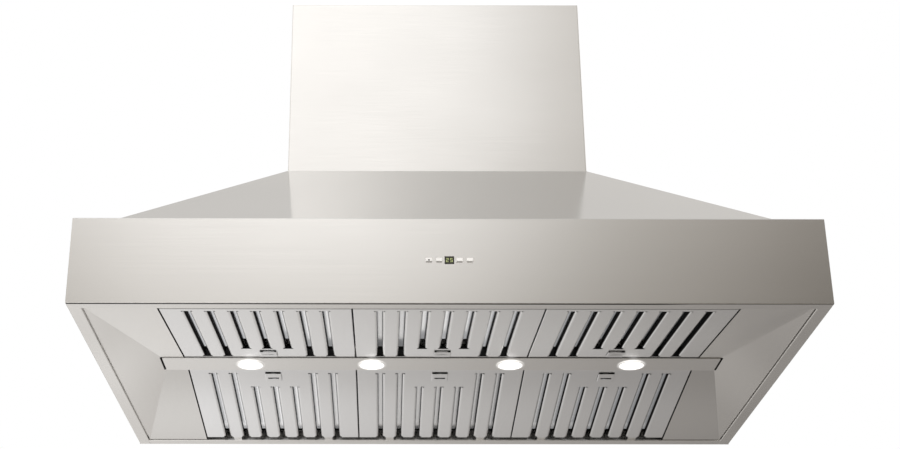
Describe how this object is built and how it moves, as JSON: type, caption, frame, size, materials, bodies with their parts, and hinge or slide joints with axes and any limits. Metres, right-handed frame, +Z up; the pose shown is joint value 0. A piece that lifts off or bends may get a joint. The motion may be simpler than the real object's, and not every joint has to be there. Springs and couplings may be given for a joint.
{
  "type": "barbecue range hood",
  "caption": "Wall-mounted canopy hood for a barbecue: brushed steel band and slopes, duct cover, tilting baffle filters beside a lit bar, push buttons and a ducted blower.",
  "frame": {"origin": "middle of the hood's lower edge on the wall", "axes": "+X to the right for someone who faces the hood, +Y into the wall, +Z up"},
  "size_m": [1.2192, 0.8158, 0.8394],
  "materials": {
    "canopy_steel": "brushed along its length",
    "cover_steel": "brushed",
    "liner_steel": "brushed",
    "filter_steel": "fine brushed",
    "latch_steel": "fine brushed",
    "zinc_sheet": "galvanised",
    "shaft_steel": "turned",
    "bezel_steel": "polished",
    "lamp_lens": "frosted, lit",
    "lamp_can": "cast",
    "button_metal": "satin",
    "display_glass": "smoked",
    "display_black": "moulded",
    "board": "lacquered",
    "motor_paint": "satin",
    "gland_plastic": "moulded"
  },
  "bodies": {
    "canopy": {"front_band": "canopy_steel", "left_end_panel": "canopy_steel", "right_end_panel": "canopy_steel", "rear_rim": "canopy_steel", "front_slope_panel": "canopy_steel", "left_slope_panel": "canopy_steel", "right_slope_panel": "canopy_steel", "duct_cover": "cover_steel", "duct_cover_screws": "cover_steel", "liner_left": "liner_steel", "liner_right": "liner_steel", "light_bar": "liner_steel", "back_panel": "zinc_sheet", "top_plate": "zinc_sheet", "duct_cover_bracket": "zinc_sheet", "duct_collar": "zinc_sheet", "blower_scroll": "zinc_sheet", "blower_left_side": "zinc_sheet", "blower_right_side": "zinc_sheet", "blower_bolts": "zinc_sheet", "motor_bracket": "zinc_sheet", "junction_box": "zinc_sheet", "junction_box_lid": "zinc_sheet", "control_tray": "zinc_sheet", "damper_rod": "shaft_steel", "lamp_bezels": "bezel_steel", "lamp_lenses": "lamp_lens", "lamp_cans": "lamp_can", "display_window": "display_glass", "display_module": "display_black", "control_board": "board", "motor": "motor_paint", "cable_gland": "gland_plastic"},
    "button_fan": {"button_fan": "button_metal"},
    "button_slower": {"button_slower": "button_metal"},
    "button_faster": {"button_faster": "button_metal"},
    "button_light": {"button_light": "button_metal"},
    "filter_1": {"filter_1_face": "filter_steel", "filter_1_baffles": "filter_steel"},
    "filter_2": {"filter_2_face": "filter_steel", "filter_2_baffles": "filter_steel"},
    "filter_3": {"filter_3_face": "filter_steel", "filter_3_baffles": "filter_steel"},
    "filter_4": {"filter_4_face": "filter_steel", "filter_4_baffles": "filter_steel"},
    "filter_5": {"filter_5_face": "filter_steel", "filter_5_baffles": "filter_steel"},
    "filter_6": {"filter_6_face": "filter_steel", "filter_6_baffles": "filter_steel"},
    "latch_1": {"filter_1_latch": "latch_steel"},
    "latch_2": {"filter_2_latch": "latch_steel"},
    "latch_3": {"filter_3_latch": "latch_steel"},
    "latch_4": {"filter_4_latch": "latch_steel"},
    "latch_5": {"filter_5_latch": "latch_steel"},
    "latch_6": {"filter_6_latch": "latch_steel"},
    "fan_wheel": {"blower_wheel": "zinc_sheet", "motor_shaft": "shaft_steel"},
    "damper_front": {"damper_flap_front": "zinc_sheet"},
    "damper_rear": {"damper_flap_rear": "zinc_sheet"}
  },
  "joints": [
    {"name": "button_fan_press", "type": "slide", "parent": "canopy", "child": "button_fan", "axis": [0, 1, 0], "range_m": [0, 0.0015], "stiffness_N_per_m": 600, "springref_m": -0.002},
    {"name": "button_slower_press", "type": "slide", "parent": "canopy", "child": "button_slower", "axis": [0, 1, 0], "range_m": [0, 0.0015], "stiffness_N_per_m": 600, "springref_m": -0.002},
    {"name": "button_faster_press", "type": "slide", "parent": "canopy", "child": "button_faster", "axis": [0, 1, 0], "range_m": [0, 0.0015], "stiffness_N_per_m": 600, "springref_m": -0.002},
    {"name": "button_light_press", "type": "slide", "parent": "canopy", "child": "button_light", "axis": [0, 1, 0], "range_m": [0, 0.0015], "stiffness_N_per_m": 600, "springref_m": -0.002},
    {"name": "filter_1_tilt", "type": "hinge", "parent": "canopy", "child": "filter_1", "pos_m": [-0.3118, -0.7908, 0.0082], "axis": [-1, 0, 0], "range_deg": [0, 50]},
    {"name": "latch_1_slide", "type": "slide", "parent": "filter_1", "child": "latch_1", "axis": [0, -0.9949, -0.101], "range_m": [0, 0.006], "stiffness_N_per_m": 200, "springref_m": -0.01},
    {"name": "filter_2_tilt", "type": "hinge", "parent": "canopy", "child": "filter_2", "pos_m": [0, -0.7908, 0.0082], "axis": [-1, 0, 0], "range_deg": [0, 50]},
    {"name": "latch_2_slide", "type": "slide", "parent": "filter_2", "child": "latch_2", "axis": [0, -0.9949, -0.101], "range_m": [0, 0.006], "stiffness_N_per_m": 200, "springref_m": -0.01},
    {"name": "filter_3_tilt", "type": "hinge", "parent": "canopy", "child": "filter_3", "pos_m": [0.3118, -0.7908, 0.0082], "axis": [-1, 0, 0], "range_deg": [0, 50]},
    {"name": "latch_3_slide", "type": "slide", "parent": "filter_3", "child": "latch_3", "axis": [0, -0.9949, -0.101], "range_m": [0, 0.006], "stiffness_N_per_m": 200, "springref_m": -0.01},
    {"name": "filter_4_tilt", "type": "hinge", "parent": "canopy", "child": "filter_4", "pos_m": [-0.3118, -0.022, 0.0047], "axis": [1, 0, 0], "range_deg": [0, 50]},
    {"name": "latch_4_slide", "type": "slide", "parent": "filter_4", "child": "latch_4", "axis": [0, 0.9949, -0.101], "range_m": [0, 0.006], "stiffness_N_per_m": 200, "springref_m": -0.01},
    {"name": "filter_5_tilt", "type": "hinge", "parent": "canopy", "child": "filter_5", "pos_m": [0, -0.022, 0.0047], "axis": [1, 0, 0], "range_deg": [0, 50]},
    {"name": "latch_5_slide", "type": "slide", "parent": "filter_5", "child": "latch_5", "axis": [0, 0.9949, -0.101], "range_m": [0, 0.006], "stiffness_N_per_m": 200, "springref_m": -0.01},
    {"name": "filter_6_tilt", "type": "hinge", "parent": "canopy", "child": "filter_6", "pos_m": [0.3118, -0.022, 0.0047], "axis": [1, 0, 0], "range_deg": [0, 50]},
    {"name": "latch_6_slide", "type": "slide", "parent": "filter_6", "child": "latch_6", "axis": [0, 0.9949, -0.101], "range_m": [0, 0.006], "stiffness_N_per_m": 200, "springref_m": -0.01},
    {"name": "fan_spin", "type": "hinge", "parent": "canopy", "child": "fan_wheel", "pos_m": [0, -0.0994, 0.3], "axis": [1, 0, 0], "continuous": true},
    {"name": "damper_front_swing", "type": "hinge", "parent": "canopy", "child": "damper_front", "pos_m": [0, -0.176, 0.4804], "axis": [-1, 0, 0], "range_deg": [0, 80]},
    {"name": "damper_rear_swing", "type": "hinge", "parent": "canopy", "child": "damper_rear", "pos_m": [0, -0.176, 0.4804], "axis": [1, 0, 0], "range_deg": [0, 80]}
  ]
}
